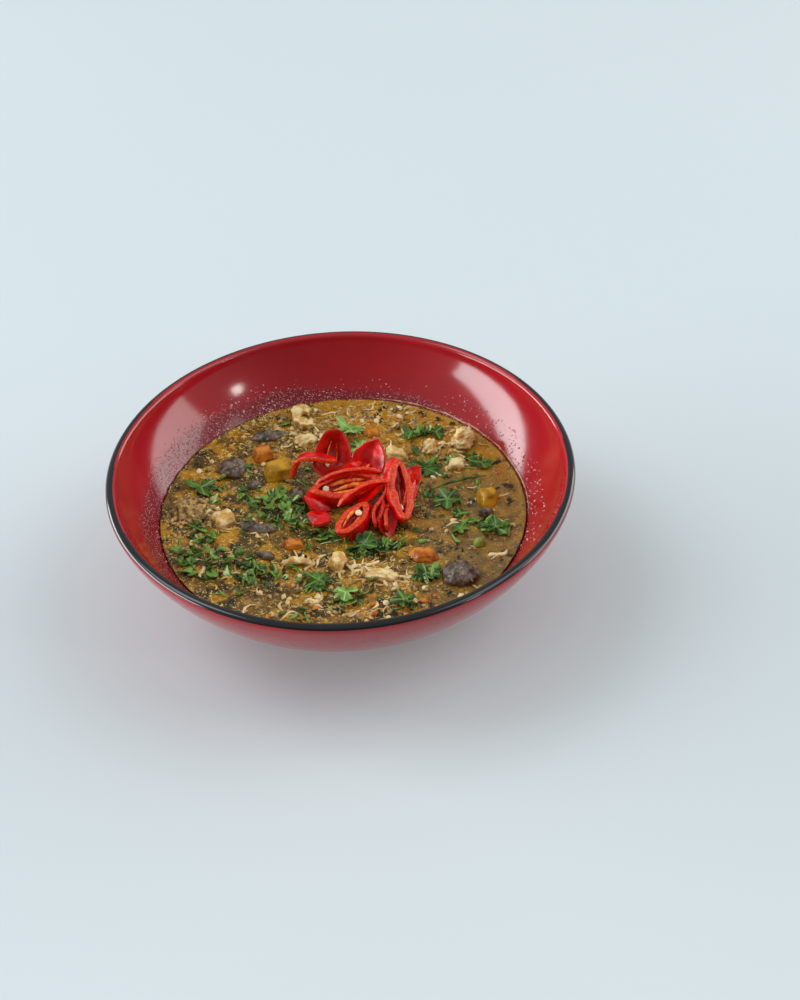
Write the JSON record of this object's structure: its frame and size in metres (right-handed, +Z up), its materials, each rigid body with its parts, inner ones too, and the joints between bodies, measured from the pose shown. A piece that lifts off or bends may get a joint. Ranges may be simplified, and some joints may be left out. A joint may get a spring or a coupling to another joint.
{
  "type": "bowl of soup",
  "caption": "Round glazed bowl with a black rim, filled with brown soup and topped with chilli slices, coriander leaves, meat, mushroom and carrot.",
  "frame": {"origin": "centre of the foot ring, on the surface that the bowl stands on", "axes": "+Z up through the bowl's axis, -Y towards the front of the picture's view"},
  "size_m": [0.165, 0.165, 0.0537],
  "materials": {
    "red_glaze": "glossy deep red glaze with a black rim line",
    "brown_broth": "wet brown broth with oil, glossy",
    "chilli_flesh": "wet shiny red chilli",
    "chicken_meat": "moist cooked meat",
    "dark_mushroom": "moist dark grey-brown mushroom",
    "squash_flesh": "soft shiny amber squash",
    "carrot_flesh": "soft shiny orange carrot",
    "browned_mince": "crumbly browned mince",
    "pea_skin": "shiny green skin",
    "pale_coriander": "pale underside of a leaf",
    "coriander_leaf": "dark green leaf with a soft sheen"
  },
  "bodies": {
    "root": {"bowl": "red_glaze", "carrot_behind": "carrot_flesh", "carrot_cube": "carrot_flesh", "carrot_left": "carrot_flesh", "carrot_slice": "carrot_flesh", "chicken_back_right": "chicken_meat", "chicken_behind": "chicken_meat", "chicken_by_chilli": "chicken_meat", "chicken_cube": "chicken_meat", "chicken_curl": "chicken_meat", "chicken_front": "chicken_meat", "chicken_front_left": "chicken_meat", "chicken_front_right": "chicken_meat", "chicken_left": "chicken_meat", "chicken_near_rim": "chicken_meat", "chicken_upper_right": "chicken_meat", "chilli_arch": "chilli_flesh", "chilli_front_ring": "chilli_flesh", "chilli_leaf_slice": "chilli_flesh", "chilli_mid_wall": "chilli_flesh", "chilli_right_ring": "chilli_flesh", "chilli_side_wing": "chilli_flesh", "chilli_strip": "chilli_flesh", "chilli_tall_slice": "chilli_flesh", "chilli_under_slice": "chilli_flesh", "chilli_wide_ring": "chilli_flesh", "coriander_stalk": "coriander_leaf", "herb_heap_left": "coriander_leaf", "herb_heap_middle": "coriander_leaf", "leaf_back_right": "coriander_leaf", "leaf_bright_back": "pale_coriander", "leaf_by_cube": "coriander_leaf", "leaf_by_mushroom": "coriander_leaf", "leaf_by_ring": "coriander_leaf", "leaf_fan_right": "coriander_leaf", "leaf_far_left": "coriander_leaf", "leaf_front_centre": "pale_coriander", "leaf_front_left": "coriander_leaf", "leaf_long_front": "coriander_leaf", "leaf_middle_right": "coriander_leaf", "leaf_near_rim": "coriander_leaf", "leaf_pale_back": "pale_coriander", "leaf_right": "coriander_leaf", "leaf_under_fan": "coriander_leaf", "leaf_upper_right": "coriander_leaf", "minced_meat": "browned_mince", "mushroom_back": "dark_mushroom", "mushroom_cap": "dark_mushroom", "mushroom_dark_left": "dark_mushroom", "mushroom_front": "dark_mushroom", "mushroom_round": "dark_mushroom", "mushroom_slice_left": "dark_mushroom", "mushroom_small_right": "dark_mushroom", "mushroom_upper_left": "dark_mushroom", "pea": "pea_skin", "soup": "brown_broth", "squash_cube": "squash_flesh", "squash_right": "squash_flesh"}
  },
  "joints": []
}
